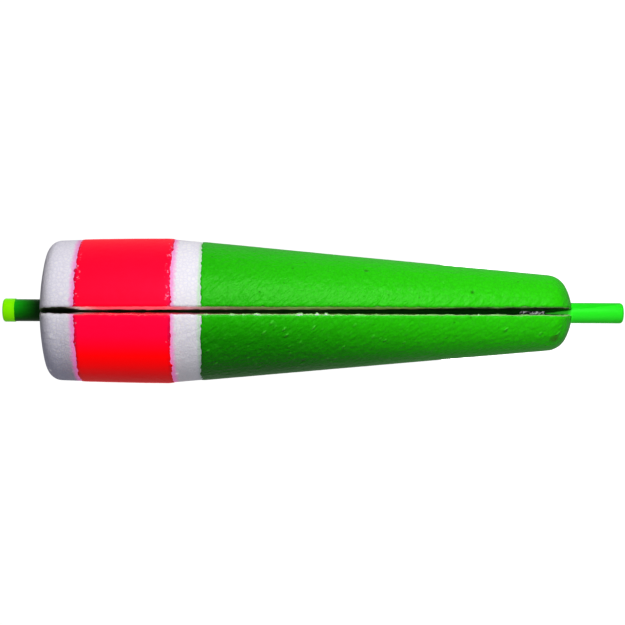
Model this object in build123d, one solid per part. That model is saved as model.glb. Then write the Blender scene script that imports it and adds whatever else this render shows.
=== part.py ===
from build123d import *
from math import radians, tan
import os

# Slotted peg float for fishing, drawn as it stands in the water. +Z runs up the float's axis to
# the wide banded head, and the line slot opens towards -Y. The origin is on the axis, at the
# float's lowest point, the free end of the stick. Lengths are in millimetres, angles in degrees.

# Foam body: a barrel-sided head, a widest ring and one long taper, closed by a shallow dome at
# each end. Heights along the body are given from the top of the head or the tip of the foot.
body_length = 101.6
max_diameter = 27.7
widest_below_head = 24.5
head_diameter = 26.8  # where the barrel side meets the head's dome
head_rise = 2.0  # height of the head's dome above that ring
head_round = 2.6
foot_diameter = 14.1  # where the taper meets the foot's dome
foot_rise = 2.65
foot_round = 4.0

# Paint: two coats on the bare foam, counted in bands down from the top of the head.
bare_head_width = 7.85
red_band_width = 17.7
bare_gap_width = 5.3
paint_film = 0.12

# Line slot: runs the whole length, from the surface in to the bore.
slot_root_at_head = 0.2  # width level with the axis, at the head end
slot_root_at_foot = 0.9
slot_draft = 2.3  # lean of each wall, which makes the mouth wider than the root
slot_turn = 0.7  # how far the slot is turned from -Y towards +X
slot_shift_at_head = -0.21  # how far to that side the slot's middle passes the axis, at the head end
slot_shift_at_foot = 0.2
seam_from_middle = 2.0  # where a body surface closes, so that the slot then cuts the seam away
overrun = 2.0  # how far each cutting shape runs past what it cuts

# Stick: a round peg, parallel where it stands out of the foot and tapered from there up.
stick_tail_diameter = 3.95
stick_taper = 0.31  # how much thicker the stick is at its top end
tail_reach = 10.0  # how far the stick stands out of the foot
tip_reach = 7.35  # how far it stands out of the head
tail_round = 0.6
tip_round = 0.35
bore_clearance = 0.05  # radial gap between the stick and all that it passes through

# Dipped coat on the top end of the stick.
tip_coat_length = 2.4
tip_film = 0.12

# Ballast: a split collar buried round the bore near the foot.
ballast_length = 4.6
ballast_above_foot = 5.5
ballast_wall = 1.2
ballast_slit_width = 0.8
ballast_slit_turn = 12.0  # how far the slit is turned from -Y towards +X
pocket_clearance = 0.05

# Levels and radii that follow from the sizes above.
foot_z = tail_reach
head_z = foot_z + body_length
stick_top_z = head_z + tip_reach
widest_z = head_z - widest_below_head
red_top_z = head_z - bare_head_width
red_bottom_z = red_top_z - red_band_width
green_top_z = red_bottom_z - bare_gap_width
max_radius = max_diameter / 2
tail_radius = stick_tail_diameter / 2
tip_radius = (stick_tail_diameter + stick_taper) / 2
ballast_radius = tail_radius + bore_clearance + ballast_wall
seam_in_slot = slot_turn - 90 - seam_from_middle


def rounded(section, level, radius):
    """Round a half section's outer corner, counted up from its lowest level or down from its top."""
    corner = section.vertices().group_by(Axis.Y)[level].sort_by(Axis.X)[-1]
    return fillet(corner, radius)


def turned(section, seam_angle=0.0):
    """Solid that a half section sweeps as it turns about Z, closing at the seam angle."""
    return Rot(0, 0, seam_angle) * revolve(Plane.XZ * section, axis=Axis.Z)


def grown(section, growth):
    """Half section moved outwards by growth, still ending on the axis."""
    return split(offset(section, amount=growth), bisect_by=Plane.YZ, keep=Keep.TOP)


def coat_section(outer, inner, bottom_z, top_z):
    """Half section of what lies between two nested half sections, from one level to another."""
    level_band = Rectangle(max_diameter, top_z - bottom_z, align=(Align.MIN, Align.MIN))
    return (outer - inner) & (Pos(0, bottom_z) * level_band)


def disc(bottom_z, top_z, radius):
    """Round slab between two levels."""
    on_axis = (Align.CENTER, Align.CENTER, Align.MIN)
    return Pos(0, 0, bottom_z) * Cylinder(radius, top_z - bottom_z, align=on_axis)


def body_section(film=0.0):
    """Half section of the float's outer form under a coat of paint, x across and y up the axis."""
    foot_tip = (0, foot_z - film)
    foot_ring = (foot_diameter / 2 + film, foot_z + foot_rise - film)
    widest_ring = (max_radius + film, widest_z)
    head_ring = (head_diameter / 2 + film, head_z - head_rise + film)
    head_top = (0, head_z + film)
    barrel_pull = (max_radius + film, (widest_z + head_z - head_rise) / 2)
    section = make_face(
        [
            TangentArc(foot_tip, foot_ring, tangent=(1, 0)),
            Line(foot_ring, widest_ring),
            Bezier(widest_ring, barrel_pull, head_ring),
            TangentArc(head_top, head_ring, tangent=(1, 0)),
            Line(head_top, foot_tip),
        ]
    )
    section = rounded(section, 1, foot_round + film)
    return rounded(section, -2, head_round + film)


def square_stick_section():
    """Half section of the stick before its ends are rounded."""
    outline = Polyline(
        (0, 0),
        (tail_radius, 0),
        (tail_radius, foot_z),
        (tip_radius, stick_top_z),
        (0, stick_top_z),
        close=True,
    )
    return make_face(outline)


def stick_section():
    """Half section of the stick with its two ends rounded off."""
    section = rounded(square_stick_section(), 0, tail_round)
    return rounded(section, -1, tip_round)


def stick_bore():
    """Room for the stick through the whole float."""
    return turned(grown(square_stick_section(), bore_clearance))


def slot_wall(side):
    """Plane of one slot wall, on the +X side for 1 or the -X side for -1, facing out of the slot."""
    foot_end = Vector(slot_shift_at_foot + side * slot_root_at_foot / 2, 0, foot_z)
    head_end = Vector(slot_shift_at_head + side * slot_root_at_head / 2, 0, head_z)
    to_mouth = Vector(side * tan(radians(slot_draft)), -1, 0)
    facing = (head_end - foot_end).cross(to_mouth) * side
    return Plane(origin=foot_end, z_dir=facing)


def line_slot():
    """Wedge from the axis out through the side, widening outwards and towards the foot."""
    reach = max_radius + overrun
    length = body_length + 2 * overrun
    from_axis = (Align.CENTER, Align.MAX, Align.MIN)
    wedge = Pos(0, 0, foot_z - overrun) * Box(max_diameter, reach, length, align=from_axis)
    for side in (1, -1):
        wedge = split(wedge, bisect_by=slot_wall(side), keep=Keep.BOTTOM)
    return Rot(0, 0, slot_turn) * wedge


def ballast_pocket():
    """Round pocket in the foam that the ballast collar lies in."""
    bottom_z = foot_z + ballast_above_foot - pocket_clearance
    top_z = foot_z + ballast_above_foot + ballast_length + pocket_clearance
    return disc(bottom_z, top_z, ballast_radius + pocket_clearance)


def make_foam_body():
    """Bare foam with the slot, the bore and the ballast pocket in it."""
    return turned(body_section(), seam_in_slot) - line_slot() - stick_bore() - ballast_pocket()


def make_paint(bottom_z, top_z):
    """Coat of paint on the foam between two levels, open at the slot and the bore."""
    film = coat_section(body_section(paint_film), body_section(), bottom_z, top_z)
    return turned(film, seam_in_slot) - line_slot() - stick_bore()


def make_stick():
    """Plastic peg stick."""
    return turned(stick_section())


def make_tip_coat():
    """Dipped coat over the top end of the stick, a blind cup."""
    top_z = stick_top_z + tip_film
    dipped = grown(stick_section(), tip_film)
    return turned(coat_section(dipped, stick_section(), top_z - tip_coat_length, top_z))


def make_ballast_collar():
    """Split collar round the stick, its slit open to the line slot."""
    bottom_z = foot_z + ballast_above_foot
    ring = disc(bottom_z, bottom_z + ballast_length, ballast_radius) - stick_bore()
    slit = Pos(0, 0, bottom_z) * Box(
        ballast_slit_width,
        ballast_radius + overrun,
        ballast_length,
        align=(Align.CENTER, Align.MAX, Align.MIN),
    )
    return ring - Rot(0, 0, ballast_slit_turn) * slit


parts = {
    "foam_body": make_foam_body(),
    "red_paint_band": make_paint(red_bottom_z, red_top_z),
    "green_paint_coat": make_paint(foot_z - overrun, green_top_z),
    "stick": make_stick(),
    "tip_coat": make_tip_coat(),
    "ballast_collar": make_ballast_collar(),
}

os.makedirs("parts", exist_ok=True)
for name, part in parts.items():
    part.label = name
    export_step(part, f"parts/{name}.step")
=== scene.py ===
from bisect import bisect
from functools import lru_cache
from math import acos, asin, atan2, cos, exp, hypot, pi, radians, sin, sqrt, tan, tau

import bmesh
import bpy
from mathutils import Matrix, Vector, noise


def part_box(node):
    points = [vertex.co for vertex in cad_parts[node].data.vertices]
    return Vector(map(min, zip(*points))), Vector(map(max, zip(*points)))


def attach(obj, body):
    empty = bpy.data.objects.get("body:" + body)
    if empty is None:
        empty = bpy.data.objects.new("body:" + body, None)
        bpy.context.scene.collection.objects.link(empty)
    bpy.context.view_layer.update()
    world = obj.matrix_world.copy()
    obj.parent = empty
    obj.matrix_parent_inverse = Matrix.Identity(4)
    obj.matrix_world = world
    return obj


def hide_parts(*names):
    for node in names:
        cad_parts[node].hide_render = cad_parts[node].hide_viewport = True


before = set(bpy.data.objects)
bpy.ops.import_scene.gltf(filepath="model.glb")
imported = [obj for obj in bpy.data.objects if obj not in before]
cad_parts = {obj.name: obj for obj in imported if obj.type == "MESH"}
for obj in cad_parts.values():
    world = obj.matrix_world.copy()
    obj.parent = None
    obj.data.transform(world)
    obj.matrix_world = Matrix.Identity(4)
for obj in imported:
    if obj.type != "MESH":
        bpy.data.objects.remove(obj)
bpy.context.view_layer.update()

# Slotted foam peg float, standing on its axis: +Z to the wide banded head, the line slot to -Y.
# Lengths are in metres. Sizes shared with the CAD model carry the same names as there.
mm = 0.001

stick_low, stick_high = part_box("stick")
tip_low, tip_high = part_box("tip_coat")
red_low, red_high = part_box("red_paint_band")
_, green_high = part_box("green_paint_coat")
lead_low, lead_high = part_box("ballast_collar")
_, foam_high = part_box("foam_body")

tail_reach = 10.0 * mm
body_length = 101.6 * mm
foot_z = stick_low.z + tail_reach
head_z = foot_z + body_length
max_radius = foam_high.x
widest_z = head_z - 24.5 * mm
head_radius = 13.4 * mm
head_rise = 2.0 * mm
head_round = 2.6 * mm
foot_radius = 7.05 * mm
foot_rise = 2.65 * mm
foot_round = 4.0 * mm
paint_film = 0.12 * mm
lip_round = 0.12 * mm

slot_root_at_head = 0.2 * mm
slot_root_at_foot = 0.9 * mm
slot_draft = radians(2.3)
slot_turn = radians(0.7)
slot_shift_at_head = -0.21 * mm
slot_shift_at_foot = 0.2 * mm
slot_angle = slot_turn - pi / 2

tail_radius = 1.975 * mm
tip_radius = 2.13 * mm
tail_round = 0.6 * mm
tip_round = 0.35 * mm
bore_clearance = 0.05 * mm

bead_pitch = 0.72  # of the bare foam, in millimetres
ramp_height = 120.0  # the height in millimetres that each colour ramp along Z covers
weld = 0.0005 * mm  # vertices closer than this become one
open_turn = radians(4)  # left open by a spin, so that its two ends can be told apart
turn_slack = 0.002  # share of a turn by which rounding may carry an end past the full one


# ---------------------------------------------------------------- shapes

def unit(value):
    """A value held between 0 and 1."""
    return max(0.0, min(1.0, value))


def arc(centre, radius, start, end, steps):
    """Points (radius from the axis, height) along an arc in the half section."""
    turns = [start + (end - start) * k / steps for k in range(steps + 1)]
    return [Vector((centre.x + radius * cos(a), centre.y + radius * sin(a))) for a in turns]


def corner_arc(ring, side, dome_centre, dome_radius, radius):
    """Arc that rounds the corner at ring between a straight side and an end dome.

    side points from the ring along the side, away from the dome.
    """
    outward = Vector((abs(side.y), -side.x * (1 if side.y > 0 else -1)))
    start = ring - outward * radius - dome_centre
    along = start.dot(side)
    step = -along - sqrt(along ** 2 - start.length_squared + (dome_radius - radius) ** 2)
    centre = dome_centre + start + side * step
    to_dome = centre - dome_centre
    dome_turn = atan2(to_dome.y, to_dome.x)
    side_turn = atan2(outward.y, outward.x)
    return arc(centre, radius, dome_turn, side_turn, 24)


def body_outline():
    """The float's outer half section, from the bore at the foot round to the bore at the head."""
    foot_dome = (foot_radius ** 2 + foot_rise ** 2) / (2 * foot_rise)
    head_dome = (head_radius ** 2 + head_rise ** 2) / (2 * head_rise)
    foot_centre = Vector((0, foot_z + foot_dome))
    head_centre = Vector((0, head_z - head_dome))
    foot_ring = Vector((foot_radius, foot_z + foot_rise))
    head_ring = Vector((head_radius, head_z - head_rise))
    widest = Vector((max_radius, widest_z))
    pull = Vector((max_radius, (widest_z + head_ring.y) / 2))
    foot_side = (widest - foot_ring).normalized()
    head_side = (pull - head_ring).normalized()
    foot_corner = corner_arc(foot_ring, foot_side, foot_centre, foot_dome, foot_round)
    head_corner = corner_arc(head_ring, head_side, head_centre, head_dome, head_round)
    foot_end = atan2(foot_corner[0].y - foot_centre.y, foot_corner[0].x)
    head_end = atan2(head_corner[0].y - head_centre.y, head_corner[0].x)
    foot_start = -acos((tail_radius + bore_clearance) / foot_dome)
    head_start = acos((tip_radius + bore_clearance) / head_dome)
    barrel, barrel_steps = [], 40
    for k in range(1, barrel_steps):
        t = k / barrel_steps
        barrel.append(widest * (1 - t) ** 2 + pull * 2 * t * (1 - t) + head_ring * t ** 2)
    barrel = [p for p in barrel if p.y < head_corner[-1].y]
    line = arc(foot_centre, foot_dome, foot_start, foot_end, 24) + foot_corner + [widest]
    line += barrel + head_corner[::-1] + arc(head_centre, head_dome, head_end, head_start, 40)
    return line


def evenly(line, spacing):
    """The same line with its points about spacing apart."""
    lengths = [0.0]
    for a, b in zip(line, line[1:]):
        lengths.append(lengths[-1] + (b - a).length)
    count = max(1, round(lengths[-1] / spacing))
    points, k = [], 0
    for n in range(count + 1):
        at = lengths[-1] * n / count
        while k < len(line) - 2 and lengths[k + 1] < at:
            k += 1
        run = lengths[k + 1] - lengths[k]
        points.append(line[k].lerp(line[k + 1], (at - lengths[k]) / run if run else 0))
    return points


def bore_radius(z):
    """Radius of the stick's bore at a height."""
    rise = max(0.0, (z - foot_z) / (stick_high.z - foot_z))
    return tail_radius + (tip_radius - tail_radius) * rise + bore_clearance


def off_bore(radius, z):
    """0 at the mouth of the bore, which stays true to size, rising to 1 a millimetre out from it."""
    return unit((radius - bore_radius(z)) / mm)


def slot_wall(side, z, radius):
    """Angle round from -Y of a slot wall, the +X one for 1, at a height and a distance out."""
    down = (head_z - z) / body_length
    root = slot_root_at_head + (slot_root_at_foot - slot_root_at_head) * down
    shift = slot_shift_at_head + (slot_shift_at_foot - slot_shift_at_head) * down
    across = shift + side * (root / 2 + radius * tan(slot_draft))
    return asin(max(-0.95, min(0.95, across / radius)))


def ripple(seed, *place):
    """Smooth noise from -1 to 1 at a place given in millimetres."""
    x, y, z = (*place, 0.0, 0.0)[:3]
    apart = Vector((x + seed * 17.3, y - seed * 9.1, z + seed * 5.7))
    return noise.noise(apart, noise_basis="PERLIN_ORIGINAL")


tears = (  # height, reach into the slot and length of each torn rag on the -X lip, in mm
    (105.3, 0.16, 0.35), (97.8, 0.14, 0.40), (93.6, 0.16, 0.5), (85.7, 0.20, 0.25), (79.2, 0.15, 0.5),
    (74.6, 0.20, 0.45), (72.6, 0.22, 0.35), (70.0, 0.26, 0.6), (67.8, 0.15, 0.4), (62.0, 0.42, 0.55),
    (60.6, 0.22, 0.35), (58.9, 0.38, 0.30), (57.2, 0.34, 0.28), (51.0, 0.15, 0.6), (43.3, 0.14, 0.5),
    (34.0, 0.14, 0.6), (28.6, 0.30, 0.35), (25.9, 0.20, 0.4), (16.6, 0.16, 0.7), (66.0, 0.10, 18.0),
)


@lru_cache(None)
def torn_edge(side, level):
    """How far a slot lip is eaten back at a height in mm, less where a torn rag stands out of it."""
    coarse = ripple(3 + side, level * 0.45)
    fine = ripple(7 + side, level * 1.3)
    crumbs = ripple(11 + side, level * 2.6)
    if side > 0:
        worn = 0.12 * unit((34 - level) / 8)
        return (0.05 * coarse + 0.05 * fine + 0.10 * abs(crumbs) + worn) * mm
    rags = sum(reach * exp(-((level - height) / length) ** 2) for height, reach, length in tears)
    worn = 0.10 * unit((level - 101) / 4) + 0.10 * unit((17 - level) / 3)
    return (0.05 * coarse + 0.10 * fine + 0.24 * abs(crumbs) + worn - rags) * mm


def relief(angle, z, radius):
    """Unevenness of the moulded foam, measured inwards from its true surface."""
    x, y = radius / mm * cos(angle), radius / mm * sin(angle)
    swell = 0.5 + 0.5 * ripple(1, x * 0.12, y * 0.12, z / mm * 0.09)
    beads = 0.5 + 0.5 * ripple(2, x * 1.1, y * 1.1, z / mm * 1.1)
    return (0.05 * swell + 0.035 * beads) * mm


dents = (  # height, angle round from the slot, radius and depth of each pit in the foam
    (49.6, 48.0, 0.42, 0.20),
    (29.7, 26.0, 0.40, 0.20),
    (61.0, -70.0, 0.55, 0.10),
    (14.9, -52.0, 0.40, 0.12),
    (72.5, 118.0, 0.50, 0.14),
    (38.0, 171.0, 0.60, 0.15),
    (66.0, -138.0, 0.45, 0.13),
)


def dent_depth(angle, z, radius):
    """Depth of the pits at a place on the foam."""
    depth = 0.0
    for height, turn, size, deep in dents:
        up = z / mm - height
        if abs(up) < 3 * size:
            side = (angle - slot_angle - radians(turn) + pi) % tau - pi
            away = hypot(up, side * radius / mm) / size
            depth += deep * mm * exp(-away ** 2)
    return depth


def new_piece(name, mesh_maker, material, body, node):
    """Turn a bmesh into a piece of the float that rides on a body and stands for a CAD node."""
    mesh = bpy.data.meshes.new(name)
    bmesh.ops.recalc_face_normals(mesh_maker, faces=mesh_maker.faces)
    mesh_maker.to_mesh(mesh)
    mesh_maker.free()
    mesh.shade_smooth()
    mesh.materials.append(material)
    piece = bpy.data.objects.new(name, mesh)
    bpy.context.scene.collection.objects.link(piece)
    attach(piece, body)
    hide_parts(node)


def spin_round(bm, line, angle, steps, closed=False):
    """Sweep a line of geometry about Z."""
    bmesh.ops.spin(
        bm, geom=line, cent=(0, 0, 0), axis=(0, 0, 1), angle=angle, steps=steps, use_merge=closed
    )


def share_round(place, sweep):
    """Share of a sweep that a place lies through, 0 where rounding has put it just before the start."""
    share = (atan2(place.y, place.x) % tau) / sweep
    return min(1.0, share) if share < 1 + turn_slack else 0.0


def slotted_ring(outer, inner, columns, steps, settle):
    """Solid between two half section lines, spun round from one slot wall to the other.

    settle takes each vertex's share of the way round, its radius and its height, and returns
    where it goes and how deep under the surface it is.
    """
    bm = bmesh.new()
    rows = len(outer) - 1
    sweep = tau - open_turn
    rim = []
    for turn in (0, sweep):
        wall = bmesh.ops.create_grid(bm, x_segments=columns, y_segments=rows, size=0.5)["verts"]
        for v in wall:
            row = round((v.co.y + 0.5) * rows)
            place = inner[row].lerp(outer[row], v.co.x + 0.5)
            v.co = (place.x * cos(turn), place.x * sin(turn), place.y)
        bmesh.ops.remove_doubles(bm, verts=wall, dist=weld)
        rim = rim or [e for e in bm.edges if e.is_boundary]
    rim_points = list(dict.fromkeys(v for e in rim for v in e.verts))
    spin_round(bm, rim_points + rim, sweep, steps)
    bmesh.ops.remove_doubles(bm, verts=bm.verts, dist=weld)
    depth = bm.verts.layers.float.new("depth")
    shade = bm.verts.layers.float.new("shade")
    for v in bm.verts:
        share = share_round(v.co, sweep)
        v[shade] = 1 - share
        v.co, v[depth] = settle(share, hypot(v.co.x, v.co.y), v.co.z)
    return bm


def place_round(share, radius, z, eaten_high, eaten_low):
    """Angle at a share of the way round, from the slot's +X wall to its -X wall."""
    share -= 0.5 / tau * sin(tau * share)
    start = slot_wall(1, z, radius) + eaten_high / radius
    end = tau + slot_wall(-1, z, radius) - eaten_low / radius
    return slot_angle + start + (end - start) * share


outline = body_outline()
outline_heights = [point.y for point in outline]


def surface_radius(z):
    """Radius of the float's outer surface at a height."""
    k = min(max(bisect(outline_heights, z), 1), len(outline) - 1)
    a, b = outline[k - 1], outline[k]
    return a.x + (b.x - a.x) * (z - a.y) / (b.y - a.y) if b.y > a.y else a.x


def stretch(bottom_z, top_z, spacing):
    """The part of the body's outline between two heights."""
    points = [p for p in outline if bottom_z < p.y < top_z]
    if bottom_z > outline[0].y:
        points.insert(0, Vector((surface_radius(bottom_z), bottom_z)))
    else:
        points.insert(0, outline[0])
    points.append(Vector((surface_radius(top_z), top_z)))
    return evenly(points, spacing)


def lip_softness(share, radius):
    """1 at a slot lip, falling to 0 a little way round from it."""
    from_lip = min(share, 1 - share) * tau * radius
    return exp(-(from_lip / (0.35 * mm)) ** 2)


def make_foam(material):
    """Bare foam body with its slot walls and its bore."""
    outer = evenly(outline, 0.32 * mm)
    together = 8  # points of the outer line that share one of the bore
    inner = []
    for k in range(len(outer)):
        z = outer[min(len(outer) - 1, round(k / together) * together)].y
        inner.append(Vector((bore_radius(z), z)))
    inner[0], inner[-1] = outer[0], outer[-1]

    def settle(share, radius, z):
        skin = surface_radius(z)
        near_mouth = unit(1 - (skin - radius) / (0.9 * mm))
        walls = 0.16 * ripple(5, z / mm * 0.5, radius / mm * 0.8)
        walls += 0.22 * ripple(6, z / mm * 1.5, radius / mm)
        walls *= mm * (1 - near_mouth)
        level = round(z / mm, 2)
        high = torn_edge(1, level) * near_mouth + walls
        low = torn_edge(-1, level) * near_mouth + walls
        angle = place_round(share, radius, z, high, low)
        outside = unit(1 - (skin - radius) / (0.3 * mm))
        sunk = (relief(angle, z, radius) + dent_depth(angle, z, radius)) * outside
        sunk += lip_round * lip_softness(share, radius) * outside
        under_red = unit(min(z - red_low.z, red_high.z - z) / (0.8 * mm))
        under_green = unit((green_high.z - z) / (0.8 * mm))
        sunk += 0.06 * mm * max(under_red, under_green) * outside
        r = radius - sunk * off_bore(radius, z)
        at_lip = 0.3 * lip_softness(share, radius)
        return Vector((r * cos(angle), r * sin(angle), z)), (skin - radius) / mm + at_lip

    bm = slotted_ring(outer, inner, 10, 190, settle)
    new_piece("foam_body_moulding", bm, material, "float", "foam_body")


def edge_wave(seed, angle, radius):
    """Waver of a masked paint edge."""
    x, y = radius / mm * cos(angle), radius / mm * sin(angle)
    fine = 0.24 * ripple(seed + 1, x * 0.9, y * 0.9) + 0.20 * ripple(seed + 2, x * 2.1, y * 2.1)
    return (0.28 * ripple(seed, x * 0.16, y * 0.16) + fine) * mm


def make_paint(name, line, steps, material, node, bottom_edge, bow=0.0):
    """Coat of paint on a stretch of the foam, thin at its edges and drawn back at the lips.

    bottom_edge says whether it ends short of the foot. bow is how far its top edge dips beside
    the slot.
    """
    edge_reach = 1.2 * mm  # how far the waver of an edge is felt from it
    inner, outer = [], []
    for k, point in enumerate(line):
        before = line[max(0, k - 1)]
        after = line[min(len(line) - 1, k + 1)]
        run = (after - before).normalized()
        outward = Vector((run.y, -run.x))
        from_edge = min(
            (point - line[0]).length if bottom_edge else 1,
            (line[-1] - point).length,
        )
        thick = (paint_film - 0.02 * mm) * min(1.0, 0.25 + from_edge / (0.5 * mm))
        inner.append(point - outward * 0.1 * mm)
        outer.append(point + outward * thick)

    def settle(share, radius, z):
        skin = surface_radius(z)
        waver = 0.06 + 0.06 * ripple(21, z / mm * 0.9) + 0.10 * abs(ripple(22, z / mm * 2.4))
        flaked = 0.25 * mm * max(0.0, ripple(24, z / mm * 1.1) - 0.12)
        level = round(z / mm, 2)
        high = torn_edge(1, level) + flaked
        low = max(0.0, torn_edge(-1, level)) + waver * mm
        angle = place_round(share, radius, z, high, low)
        sunk = relief(angle, z, skin) + dent_depth(angle, z, skin)
        sunk += lip_round * lip_softness(share, radius)
        shift = 0.0
        if bottom_edge:
            edge_in = exp(-(z - line[0].y) / edge_reach)
            shift += edge_in * edge_wave(31, angle, radius)
        edge_in = exp(-(line[-1].y - z) / edge_reach)
        beside_slot = max(0.0, cos(angle - slot_angle)) ** 2
        shift -= edge_in * (edge_wave(33, angle, radius) + bow * beside_slot)
        r = radius - sunk * off_bore(radius, z)
        return Vector((r * cos(angle), r * sin(angle), z + shift)), 0.0

    bm = slotted_ring(outer, inner, 1, steps, settle)
    new_piece(name, bm, material, "float", node)


def spun(profile, steps):
    """Solid of revolution about Z from a profile of (radius, height) points."""
    bm = bmesh.new()
    verts = [bm.verts.new((p[0], 0, p[1])) for p in profile]
    edges = [bm.edges.new(pair) for pair in zip(verts, verts[1:])]
    spin_round(bm, verts + edges, tau, steps, closed=True)
    bmesh.ops.remove_doubles(bm, verts=bm.verts, dist=weld)
    return bm


def make_stick(material):
    """Tapered round peg with rounded ends."""
    low, high = stick_low.z, stick_high.z
    tail_centre = Vector((tail_radius - tail_round, low + tail_round))
    top_centre = Vector((tip_radius - tip_round, high - tip_round))
    corners = [(tail_radius, low + tail_round), (tail_radius, foot_z), (tip_radius, high - tip_round)]
    shaft = evenly([Vector(corner) for corner in corners], 1.0 * mm)
    profile = [Vector((0, low))] + arc(tail_centre, tail_round, -pi / 2, 0, 10) + shaft[1:-1]
    profile += arc(top_centre, tip_round, 0, pi / 2, 8) + [Vector((0, high))]
    bm = spun(profile, 96)
    new_piece("peg_stick", bm, material, "stick", "stick")


def make_tip(material):
    """Dipped coat on the stick's top end, a blind cup with a soft lower edge."""
    film = 0.115 * mm
    low, high = tip_low.z, tip_high.z
    centre = Vector((tip_radius - tip_round, high - tip_round - film))
    outside = arc(centre, tip_round + film, 0, pi / 2, 12)
    inside = arc(centre, tip_round + 0.002 * mm, pi / 2, 0, 8)
    lip = Vector((tip_radius + film / 2, low + film / 2))
    profile = [Vector((0, high - 0.001 * mm))] + outside[::-1]
    profile += arc(lip, film / 2, 0, -pi, 8)
    profile += inside[::-1] + [Vector((0, high - film + 0.002 * mm))]
    bm = spun(profile, 96)
    for v in bm.verts:
        turn = atan2(v.co.y, v.co.x)
        edge = max(0.0, 1 - (v.co.z - low) / (0.6 * mm))
        v.co.z += 0.08 * mm * edge * (1 + ripple(41, 2 * cos(turn), 2 * sin(turn)))
    new_piece("dipped_tip", bm, material, "stick", "tip_coat")


def make_ballast(material):
    """Split lead collar, its outside dragged into slanting ridges."""
    low, high = lead_low.z, lead_high.z
    outer_radius = lead_high.x - 0.02 * mm
    inner_radius = bore_radius((low + high) / 2) + 0.01 * mm
    bm = bmesh.new()
    bmesh.ops.create_grid(bm, x_segments=6, y_segments=36, size=0.5)
    for v in bm.verts:
        radius = inner_radius + (outer_radius - inner_radius) * (v.co.x + 0.5)
        v.co = (radius, 0, low + (high - low) * (v.co.y + 0.5))
    slit_half = 0.4 * mm
    opening = radians(20)  # only while it is spun: the slit takes its place below
    start = bm.verts[:] + bm.edges[:] + bm.faces[:]
    spin_round(bm, start, tau - opening, 120)
    slit_angle = slot_angle + radians(12)
    for v in bm.verts:
        share = share_round(v.co, tau - opening)
        radius = hypot(v.co.x, v.co.y)
        half = asin(slit_half / radius)
        angle = slit_angle + half + (tau - 2 * half) * share
        outside = (radius - inner_radius) / (outer_radius - inner_radius)
        up = v.co.z / mm
        ridge = 0.5 + 0.5 * sin(up * 9 + angle * 14 + 2 * ripple(51, up * 1.5, angle * 3))
        rough = 0.5 + 0.5 * ripple(52, up * 3, angle * 6)
        radius -= outside * (0.10 * ridge + 0.06 * rough) * mm
        v.co = (radius * cos(angle), radius * sin(angle), v.co.z)
    new_piece("lead_collar", bm, material, "float", "ballast_collar")


# ---------------------------------------------------------------- finishes

class Wire:
    """A node's output that takes part in arithmetic."""

    def __init__(self, finish, socket):
        self.finish = finish
        self.socket = socket

    def math(self, operation, *values, clamp=False):
        """The result of a Math node on some values."""
        settings = {"operation": operation, "use_clamp": clamp}
        return self.finish.node("Math", settings, dict(enumerate(values)))

    def __add__(self, other):
        return self.math("ADD", self, other)

    def __sub__(self, other):
        return self.math("SUBTRACT", self, other)

    def __rsub__(self, other):
        return self.math("SUBTRACT", other, self)

    def __mul__(self, other):
        return self.math("MULTIPLY", self, other)

    def __truediv__(self, other):
        return self.math("DIVIDE", self, other)

    def __pow__(self, other):
        return self.math("POWER", self, other)

    __radd__ = __add__
    __rmul__ = __mul__

    def clamped(self):
        """Held between 0 and 1."""
        return self.math("ADD", self, 0.0, clamp=True)

    def size(self):
        """Without its sign."""
        return self.math("ABSOLUTE", self)

    def least(self, other):
        """The lesser of this and another."""
        return self.math("MINIMUM", self, other)


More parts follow.
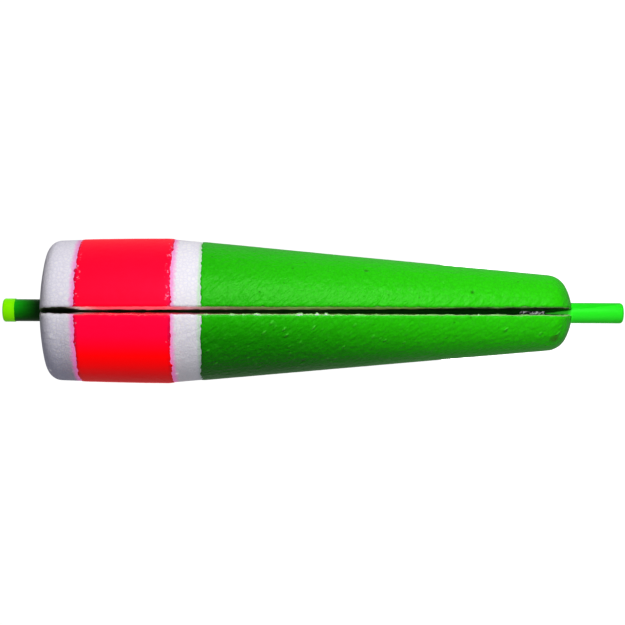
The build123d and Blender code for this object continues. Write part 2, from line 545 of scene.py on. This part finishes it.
class Finish:
    """The node tree of one material."""

    def __init__(self, name):
        self.material = bpy.data.materials.new(name)
        self.material.use_nodes = True
        self.tree = self.material.node_tree
        self.tree.nodes.clear()
        self.place = self.node("TexCoord", output="Object")

    def node(self, kind, settings=None, values=None, output=0):
        """Add any node: its settings first, then the value or link of each socket."""
        made = self.tree.nodes.new("ShaderNode" + kind)
        for key, value in (settings or {}).items():
            if key == "stops":
                self.set_stops(made.color_ramp, value)
            else:
                setattr(made, key, value)
        for key, value in (values or {}).items():
            if isinstance(value, Wire):
                self.tree.links.new(value.socket, made.inputs[key])
            else:
                made.inputs[key].default_value = value
        return Wire(self, made.outputs[output]) if made.outputs else made

    @staticmethod
    def set_stops(ramp, stops):
        """Fill a colour ramp with stops given as (position, colour)."""
        while len(ramp.elements) < len(stops):
            ramp.elements.new(0.5)
        for element, (position, tint) in zip(ramp.elements, stops):
            element.position = position
            element.color = tint

    def axis(self, name):
        """One coordinate of the piece's own place, in millimetres."""
        return self.node("SeparateXYZ", None, {0: self.place}, name) / mm

    def scaled(self, x=1, y=1, z=1):
        """The piece's own place in millimetres, stretched along each axis."""
        settings = {"operation": "MULTIPLY"}
        return self.node("VectorMath", settings, {0: self.place, 1: (x / mm, y / mm, z / mm)})

    def noise(self, place, scale, detail=2.0, roughness=0.5):
        """Smooth noise from 0 to 1, with a scale in waves to the millimetre."""
        values = {"Vector": place, "Scale": scale, "Detail": detail, "Roughness": roughness}
        return self.node("TexNoise", None, values)

    def cells(self, place, scale, feature="F1", output="Distance"):
        """Voronoi cells, with a scale in cells to the millimetre."""
        return self.node("TexVoronoi", {"feature": feature}, {"Vector": place, "Scale": scale}, output)

    def chance(self, place, scale):
        """A level from 0 to 1 that is drawn for each of the same cells."""
        return self.node("SeparateColor", None, {0: self.cells(place, scale, output="Color")}, 0)

    def mix(self, factor, a, b):
        """Colour a where the factor is 0 and colour b where it is 1."""
        return self.node("Mix", {"data_type": "RGBA"}, {0: factor, 6: a, 7: b}, 2)

    def ramp(self, factor, *stops):
        """Colours, or grey levels, through stops given as (position, colour or level)."""
        tinted = [(at, c if isinstance(c, tuple) else (c, c, c, 1)) for at, c in stops]
        return self.node("ValToRGB", {"stops": tinted}, {0: factor})

    def spot(self, centre, radius):
        """1 at a place in millimetres, falling to 0 a radius away from it."""
        settings = {"operation": "DISTANCE"}
        away = self.node("VectorMath", settings, {0: self.scaled(), 1: centre}, "Value")
        return (1.6 - away * (1.6 / radius)).clamped()

    def bump(self, height, distance, strength, normal=None):
        """Normal tilted by a height from 0 to 1 that stands for a distance in metres."""
        values = {"Height": height, "Distance": distance, "Strength": strength}
        if normal:
            values["Normal"] = normal
        return self.node("Bump", None, values, "Normal")

    def done(self, **values):
        """Close the tree with a Principled shader, its sockets named with _ for a space."""
        named = {key.replace("_", " "): value for key, value in values.items()}
        shader = self.node("BsdfPrincipled", None, named)
        self.node("OutputMaterial", None, {"Surface": shader})
        return self.material


def band(z, low, high, soft):
    """1 between two heights in millimetres, falling to 0 past each end."""
    return ((z - low) / soft + 0.5).clamped() * ((high - z) / soft + 0.5).clamped()


def bead_relief(finish, pitch):
    """Height of foam beads of a pitch in millimetres, pressed flat against each other."""
    place = finish.scaled()
    wobble = finish.noise(place, 0.9 / pitch, 1.0) * 0.5
    edge = finish.cells(place, 1 / pitch, "DISTANCE_TO_EDGE") + wobble * 0.08
    return (edge * 3.2).clamped() ** 0.6


def underside(finish):
    """Millimetres down the slotted side from its middle, falling to 0 round the far side."""
    return (0 - finish.axis("X")) * (0.6 - finish.axis("Y") / 8).clamped()


def slanted(finish, turn, length):
    """The piece's own place in millimetres, drawn out along a slant round the float."""
    values = {"Vector": finish.scaled(), "Rotation": (0, radians(turn), 0), "Scale": (1.0, 1.0, length)}
    return finish.node("Mapping", {"vector_type": "TEXTURE"}, values)


def hammered(finish, pitch):
    """Height of shallow dimples along a slant round the float."""
    return finish.noise(slanted(finish, -45, 2.6), 1 / pitch, 2.0, 0.55)


def flecks(finish, pitch):
    """1 on short slanting nicks, in about half of the cells, pitch of which go to the millimetre."""
    place = slanted(finish, -50, 2.2)
    nick = (1 - finish.cells(place, pitch) / 0.24).clamped()
    return nick * ((finish.chance(place, pitch) - 0.45) * 8).clamped()


def foam_finish():
    """White beaded foam, sprayed faintly beside the paint and tinted by paint and dirt inside the slot,
    with painted shade deep in the slot, painted light on its upper slot wall, and painted fill light
    with painted glints on its underside.
    """
    f = Finish("bare_beaded_foam")
    z = f.axis("Z")
    place = f.scaled()
    beads = bead_relief(f, bead_pitch)
    fine = f.noise(place, 4.0, 3.0, 0.6)
    base = f.mix(beads, (0.76, 0.735, 0.84, 1), (0.92, 0.89, 0.98, 1))
    base = f.mix(f.chance(place, 1 / bead_pitch) * 0.3, base, (0.80, 0.77, 0.86, 1))
    rim = ((z - (head_z / mm - 3.2)) / 3.0).clamped() * f.noise(place, 0.8, 2.0)
    base = f.mix(rim * 0.9, base, (0.52, 0.46, 0.33, 1))
    rag = f.noise(place, 1.6, 3.0, 0.65)
    from_red = (z - red_high.z / mm).size().least((z - red_low.z / mm).size())
    pink = (1.45 - from_red * 1.35 + (rag - 0.5) * 1.8).clamped()
    base = f.mix(pink * 0.85, base, (1.0, 0.25, 0.72, 1))
    mint = (1.1 - (z - green_high.z / mm).size() * 2.2 + (rag - 0.5) * 1.4).clamped()
    base = f.mix(mint * 0.6, base, (0.42, 0.85, 0.36, 1))
    depth = f.node("Attribute", {"attribute_name": "depth"}, None, "Fac")
    in_red = band(z, red_low.z / mm, red_high.z / mm, 0.8)
    in_green = band(z, 0, green_high.z / mm, 0.8)
    lip = f.mix(in_red, base, (0.85, 0.07, 0.11, 1))
    lip = f.mix(in_green, lip, (0.30, 0.70, 0.20, 1))
    base = f.mix(((depth - 0.02) * 12).clamped(), base, lip)
    # Slot wall colour along Z: tinted by spilt paint and dirt through the middle, with painted shade
    # making it near black deep towards the foot and past the head band, and darkened in noisy streaks
    # below.
    wall_stain_and_shade = f.ramp(
        z / ramp_height,
        (0.10, (0.02, 0.05, 0.01, 1)),
        (0.25, (0.04, 0.12, 0.02, 1)),
        (0.36, (0.13, 0.25, 0.04, 1)),
        (0.52, (0.17, 0.25, 0.07, 1)),
        (0.60, (0.19, 0.20, 0.08, 1)),
        (0.655, (0.30, 0.20, 0.15, 1)),
        (0.69, (0.55, 0.28, 0.32, 1)),
        (0.73, (0.80, 0.12, 0.17, 1)),
        (0.83, (0.80, 0.10, 0.15, 1)),
        (0.864, (0.60, 0.45, 0.44, 1)),
        (0.880, (0.03, 0.05, 0.02, 1)),
    )
    streaks = f.noise(f.scaled(1, 1, 0.7), 1.3, 3.0, 0.65)
    darker = f.mix(0.55, wall_stain_and_shade, (0.02, 0.015, 0.01, 1))
    wall_stain_and_shade = f.mix(((streaks - 0.45) * 4).clamped() * 0.8, wall_stain_and_shade, darker)
    upper = f.node("Attribute", {"attribute_name": "shade"}, None, "Fac")
    # Share of the wall given that colour with its painted shade: from a little way into the slot,
    # further in on the lower wall.
    stain_and_shade_share = ((depth - 0.5 - (1 - upper) * 1.5) * 1.5).clamped()
    base = f.mix(stain_and_shade_share, base, wall_stain_and_shade)
    # Painted light: the upper slot wall emits as if lit through the foam, out to a ragged reach that
    # changes along the float.
    torn = f.noise(place, 1.3, 3.0, 0.6) * 5.0
    reach = f.ramp(
        z / ramp_height, (0.12, 0.05), (0.25, 0.2), (0.35, 0.5), (0.55, 0.85), (0.86, 1.0), (0.88, 0.1)
    )
    near = (1 - (depth + torn - 2.3 - reach * 9.0) / 2.4).clamped()
    lit = ((depth - 0.3) * 3).clamped() * near * upper
    # Painted fill light on the outside: a faint bluish emission growing down the slotted side, brighter
    # on the bare gap band, pink beside the red band, with white painted glints on the nicks.
    in_gap = band(z, green_high.z / mm, red_low.z / mm, 1.6)
    low_side = (underside(f) / 9).clamped()
    painted_skin_light = f.mix(low_side, (0.055, 0.055, 0.075, 1), (0.075, 0.075, 0.11, 1))
    painted_gap_light = f.mix(low_side, (0.08, 0.085, 0.08, 1), (0.19, 0.19, 0.21, 1))
    painted_skin_light = f.mix(in_gap, painted_skin_light, painted_gap_light)
    painted_skin_light = f.mix(pink * low_side * 0.8, painted_skin_light, (0.42, 0.10, 0.30, 1))
    painted_skin_light = f.mix(flecks(f, 0.6) * low_side * 0.3, painted_skin_light, (1, 1, 1, 1))
    # Deeper into the slot that emission fades to a trace of the base colour; the upper wall's painted
    # light is tinted by the wall colour.
    dark = f.mix((depth * 5).clamped(), painted_skin_light, f.mix(0.96, base, (0, 0, 0, 1)))
    painted_light = f.mix(lit, dark, f.mix(0.15, wall_stain_and_shade, (0, 0, 0, 1)))
    bumps = f.bump(beads, 0.05 * mm, 0.55)
    bumps = f.bump(hammered(f, 0.7), 0.25 * mm, 0.6, bumps)
    bumps = f.bump(fine, 0.03 * mm, 0.5, bumps)
    return f.done(
        Base_Color=base, Roughness=0.72, Normal=bumps, Specular_IOR_Level=0.3,
        Emission_Color=painted_light, Emission_Strength=1.0,
        Subsurface_Weight=0.3, Subsurface_Radius=(1, 1, 1), Subsurface_Scale=4 * mm,
    )


def red_finish():
    """Bright red paint, nearly smooth over the beads, deeper at its edges, painted a purer red with
    painted light down the slotted side.
    """
    f = Finish("red_band_paint")
    z = f.axis("Z")
    place = f.scaled()
    beads = bead_relief(f, 0.9)
    cloud = f.noise(place, 0.35, 2.0)
    base = f.mix(cloud, (0.95, 0.001, 0.030, 1), (1.0, 0.002, 0.040, 1))
    from_edge = (z - red_low.z / mm).least(red_high.z / mm - z)
    speck = f.noise(place, 1.5, 2.0, 0.6)
    rim = (1.1 - from_edge * 1.6 + (speck - 0.5) * 1.5).clamped()
    base = f.mix(rim * 0.7, base, (0.45, 0.001, 0.06, 1))
    bare = ((speck - 0.63) * 14).clamped() * (1.2 - from_edge / 0.95).clamped()
    base = f.mix(bare, base, (0.95, 0.45, 0.70, 1))
    # Painted shade: down the slotted side the red loses its pink sheen and turns pure red.
    under = underside(f)
    base = f.mix(((under - 4.5) / 3.5).clamped(), base, (0.95, 0.0, 0.0, 1))
    # Painted light: emission brightens the red most partway down the slotted side, less at the deeper
    # edges and bare specks.
    painted_light = f.ramp(
        under / 14,
        (0.05, (0.50, 0.0, 0.0, 1)),
        (0.10, (0.50, 0.0, 0.018, 1)),
        (0.34, (0.52, 0.0, 0.018, 1)),
        (0.60, (0.74, 0.0, 0.0, 1)),
        (0.73, (0.62, 0.0, 0.0, 1)),
        (0.865, (0.36, 0.0, 0.0, 1)),
        (1.0, (0.25, 0.0, 0.0, 1)),
    )
    painted_light = f.mix(((rim * 0.6) + bare).clamped(), painted_light, (0.1, 0.0, 0.005, 1))
    bumps = f.bump(beads, 0.010 * mm, 0.4)
    bumps = f.bump(f.noise(place, 1.4, 2.0), 0.04 * mm, 0.2, bumps)
    return f.done(
        Base_Color=base, Roughness=0.5, Normal=bumps, Specular_IOR_Level=0.35,
        Specular_Tint=(1, 0.12, 0.45, 1), Emission_Color=painted_light, Emission_Strength=1.0,
    )


green_pits = (  # centre and radius of the dark pits in the green coat, in millimetres
    ((7.8, -7.0, 49.6), 0.5),
    ((3.8, -7.7, 29.7), 0.45),
    ((-9.4, -7.0, 61.4), 0.5),
)


def green_finish():
    """Green paint over the beads with slanting dimples, painted lighter towards the foot and painted
    darker between the beads and down the slotted side towards the head, with painted glints on its
    nicks.
    """
    f = Finish("green_body_paint")
    place = f.scaled()
    beads = bead_relief(f, 0.95)
    cloud = f.noise(place, 0.25, 3.0)
    base = f.mix(cloud, (0.014, 0.51, 0.001, 1), (0.020, 0.58, 0.001, 1))
    z = f.axis("Z")
    # Painted light: lighter towards the foot.
    to_foot = (1 - (z - foot_z / mm) / 65).clamped()
    base = f.mix(to_foot * 0.8, base, (0.030, 0.80, 0.003, 1))
    # Painted shade: darker down the slotted side towards the head.
    under = ((underside(f) - 1.5) / 4).clamped() * ((z - 38) / 30).clamped()
    base = f.mix(under * 0.6, base, (0.003, 0.22, 0.0, 1))
    fleck = flecks(f, 0.75) * (0.45 - f.axis("X") / 4).clamped()
    thin = (f.noise(place, 1.1, 3.0, 0.6) - 0.52) * 4
    base = f.mix(thin.clamped() * 0.35, base, (0.055, 0.60, 0.028, 1))
    # Painted shade between the beads.
    base = f.mix((1 - beads) ** 2.0 * 0.3, base, (0.008, 0.28, 0.001, 1))
    pits = (1 - f.cells(place, 0.35) / 0.10).clamped()
    for centre, radius in green_pits:
        pits = (pits + f.spot(centre, radius)).clamped()
    base = f.mix(pits * 0.7, base, (0.008, 0.12, 0.001, 1))
    smudge = (f.spot((-4.7, -5.2, 13.9), 1.1) * (f.noise(place, 1.6, 3.0) * 2)).clamped()
    base = f.mix(smudge * 0.7, base, (0.05, 0.12, 0.01, 1))
    bumps = f.bump(beads, 0.03 * mm, 0.5)
    bumps = f.bump(hammered(f, 0.8), 0.40 * mm, 0.7, bumps)
    bumps = f.bump(1 - pits, 0.08 * mm, 0.8, bumps)
    bumps = f.bump(fleck, 0.22 * mm, 0.9, bumps)
    # Painted highlight: the nicks on the lower side are lightened as glints.
    base = f.mix(fleck * 0.55, base, (0.12, 0.90, 0.06, 1))
    return f.done(
        Base_Color=base, Roughness=0.40, Normal=bumps,
        Specular_IOR_Level=0.25, Specular_Tint=(0.35, 1, 0.25, 1),
    )


def stick_finish():
    """Fluorescent green plastic, bright at the free tail, with painted shade making it deep green
    inside the float and towards the head, and a painted pool of light at the slot's foot mouth.
    """
    f = Finish("peg_stick_plastic")
    z = f.axis("Z")
    place = f.scaled(1, 1, 0.2)
    streak = f.noise(place, 1.5, 2.0)
    # Painted shade: dark green where the float shades the stick, lighter again towards the tip.
    base = f.ramp(
        z / ramp_height,
        (0.085, (0.014, 0.88, 0.010, 1)),
        (0.14, (0.010, 0.45, 0.006, 1)),
        (0.45, (0.004, 0.16, 0.003, 1)),
        (0.91, (0.002, 0.10, 0.001, 1)),
        (0.935, (0.002, 0.07, 0.002, 1)),
        (0.975, (0.003, 0.48, 0.002, 1)),
    )
    shaded = ((1.2 - f.axis("X")) / 3.5).clamped() * ((z - foot_z / mm - 100) / 2).clamped()
    base = f.mix(shaded * 0.7, base, (0.002, 0.03, 0.001, 1))
    # Painted light: a ragged lit patch on the stick just inside the foot mouth of the slot, bright in
    # colour and emission.
    ragged = (f.noise(f.scaled(), 2.2) - 0.5) * 2.5
    edge = foot_z / mm + 2.0 + (0.3 - f.axis("X")) * 8 + ragged
    deepest = foot_z / mm + 5.2
    daylight = ((edge.least(deepest) - z) * 3).clamped()
    base = f.mix(daylight, base, (0.014, 0.88, 0.010, 1))
    near_mouth = (1 - (z - foot_z / mm - 1.5) / 3.5).clamped()
    painted_light = f.mix(daylight * near_mouth, (0, 0, 0, 1), (0.01, 0.14, 0.008, 1))
    inside = band(z, foot_z / mm, deepest, 0.5)
    painted_light = f.mix(inside * daylight * 0.5, painted_light, (0.03, 0.45, 0.02, 1))
    base = f.mix(((streak - 0.5) * 2).clamped() * 0.2, base, (0.02, 0.6, 0.02, 1))
    bumps = f.bump(streak, 0.02 * mm, 0.4)
    return f.done(
        Base_Color=base, Roughness=0.3, Normal=bumps,
        Specular_IOR_Level=0.25, Specular_Tint=(0.4, 1, 0.4, 1),
        Emission_Color=painted_light, Emission_Strength=1.0,
    )


def tip_finish():
    """Chartreuse dip, runny and glossy, thinner at its edge."""
    f = Finish("chartreuse_dip")
    z = f.axis("Z")
    place = f.scaled()
    cloud = f.noise(place, 0.8, 2.0)
    base = f.mix(cloud, (0.20, 0.76, 0.0, 1), (0.17, 0.70, 0.0, 1))
    thin = (1 - (z - tip_low.z / mm) / 0.7).clamped()
    base = f.mix(thin * 0.6, base, (0.12, 0.64, 0.0, 1))
    bumps = f.bump(f.noise(place, 1.2, 1.0), 0.03 * mm, 0.4)
    # The dip emits its own colour: painted light standing in for its fluorescent brightness.
    return f.done(
        Base_Color=base, Roughness=0.3, Normal=bumps,
        Specular_IOR_Level=0.25, Specular_Tint=(0.6, 1, 0.1, 1),
        Emission_Color=base, Emission_Strength=0.48,
    )


def lead_finish():
    """Scraped lead, bright on its ridges and painted near black between them as shade, with painted
    glints on the ridges.
    """
    f = Finish("scraped_lead")
    values = {"Vector": f.scaled(), "Rotation": (0.5, 0.7, 0.0), "Scale": (1, 6, 1)}
    scrape = f.noise(f.node("Mapping", None, values), 1.4, 4.0, 0.6)
    bright = ((scrape - 0.47) * 9).clamped()
    # Painted shade: the lead between the ridges is near black.
    base = f.mix(bright, (0.02, 0.02, 0.022, 1), (0.85, 0.85, 0.88, 1))
    rough = 0.55 - bright * 0.25
    bumps = f.bump(scrape, 0.06 * mm, 0.7)
    # Painted highlight: the ridges emit as glints.
    painted_light = f.mix(bright, (0, 0, 0, 1), (0.17, 0.18, 0.18, 1))
    return f.done(
        Base_Color=base, Metallic=0.9, Roughness=rough, Normal=bumps,
        Emission_Color=painted_light, Emission_Strength=1.0,
    )


# ---------------------------------------------------------------- the float

make_foam(foam_finish())
red_line = stretch(red_low.z, red_high.z, 0.3 * mm)
make_paint(
    "red_band_coat", red_line, 330, red_finish(), "red_paint_band", bottom_edge=True
)
green_line = stretch(foot_z, green_high.z, 0.32 * mm)
make_paint(
    "green_body_coat", green_line, 190, green_finish(), "green_paint_coat",
    bottom_edge=False, bow=0.5 * mm,
)
make_stick(stick_finish())
make_tip(tip_finish())
make_ballast(lead_finish())


# ---------------------------------------------------------------- studio

def card_finish():
    """Matt white card, with a faint tooth."""
    f = Finish("floor_card")
    tooth = f.noise(f.scaled(), 0.6, 2.0)
    base = f.mix(tooth * 0.1, (0.9, 0.9, 0.9, 1), (0.8, 0.8, 0.8, 1))
    return f.done(Base_Color=base, Roughness=0.8, Emission_Color=(1, 1, 1, 1), Emission_Strength=0.95)


def make_floor():
    """Large pale floor under the float's lowest point."""
    bm = bmesh.new()
    bmesh.ops.create_grid(bm, x_segments=1, y_segments=1, size=3.0)
    mesh = bpy.data.meshes.new("studio_floor")
    bm.to_mesh(mesh)
    bm.free()
    floor = bpy.data.objects.new("studio_floor", mesh)
    mesh.materials.append(card_finish())
    bpy.context.scene.collection.objects.link(floor)
    floor.visible_diffuse = floor.visible_glossy = False


def add_light(name, place, target, size, power, glossy=True):
    """Soft square light that faces a target."""
    light = bpy.data.lights.new(name, "AREA")
    light.shape = "SQUARE"
    light.size = size
    light.energy = power
    lamp = bpy.data.objects.new(name, light)
    lamp.location = place
    lamp.rotation_mode = "QUATERNION"
    lamp.rotation_quaternion = (Vector(target) - Vector(place)).to_track_quat("-Z", "Y")
    lamp.visible_camera = False
    lamp.visible_glossy = glossy
    bpy.context.scene.collection.objects.link(lamp)


def make_world(seen, mirrored, fill):
    """White surround, with one strength when seen, one when mirrored and one as light."""
    world = bpy.data.worlds.new("studio_surround")
    world.use_nodes = True
    tree = world.node_tree
    tree.nodes.clear()
    path = tree.nodes.new("ShaderNodeLightPath")
    shown = None
    for strength, ray in (fill, None), (mirrored, "Is Glossy Ray"), (seen, "Is Camera Ray"):
        card = tree.nodes.new("ShaderNodeBackground")
        card.inputs["Color"].default_value = (1, 1, 1, 1)
        card.inputs["Strength"].default_value = strength
        if ray:
            chosen = tree.nodes.new("ShaderNodeMixShader")
            tree.links.new(path.outputs[ray], chosen.inputs[0])
            tree.links.new(shown, chosen.inputs[1])
            tree.links.new(card.outputs[0], chosen.inputs[2])
            card = chosen
        shown = card.outputs[0]
    end = tree.nodes.new("ShaderNodeOutputWorld")
    tree.links.new(shown, end.inputs["Surface"])
    bpy.context.scene.world = world


def make_camera():
    """Camera level with the float's middle, rolled so that the head is on the left."""
    camera = bpy.data.cameras.new("camera")
    distance = 308 * mm
    camera.sensor_width = 36.0
    camera.lens = 92.16
    camera.shift_x = 0.0144
    camera.clip_start = 10 * mm
    camera.clip_end = 20.0
    eye = bpy.data.objects.new("camera", camera)
    right = Vector((0, 0, -1))
    up = Vector((1, 0, 0))
    turn = Matrix((right, up, right.cross(up))).transposed().to_4x4()
    roll = Matrix.Rotation(radians(0.30), 4, "Z")
    eye.matrix_world = Matrix.Translation((-0.17 * mm, -distance, 61.4 * mm)) @ turn @ roll
    bpy.context.scene.collection.objects.link(eye)
    bpy.context.scene.camera = eye


make_camera()
make_floor()
make_world(seen=1.05, mirrored=0.35, fill=0.07)
aim = (0, 0, 45 * mm)
add_light("key", (0.100, -0.160, 0.015), aim, 0.10, 0.50)
add_light("back", (0.42, 0.33, 0.05), aim, 0.3, 0.7, glossy=False)
add_light("rear", (0.0, 0.40, 0.10), aim, 0.12, 1.1, glossy=False)
add_light("low_fill", (-0.035, -0.035, 0.004), (0, 0, 18 * mm), 0.02, 0.0045, glossy=False)
bpy.context.scene.view_settings.view_transform = "Standard"
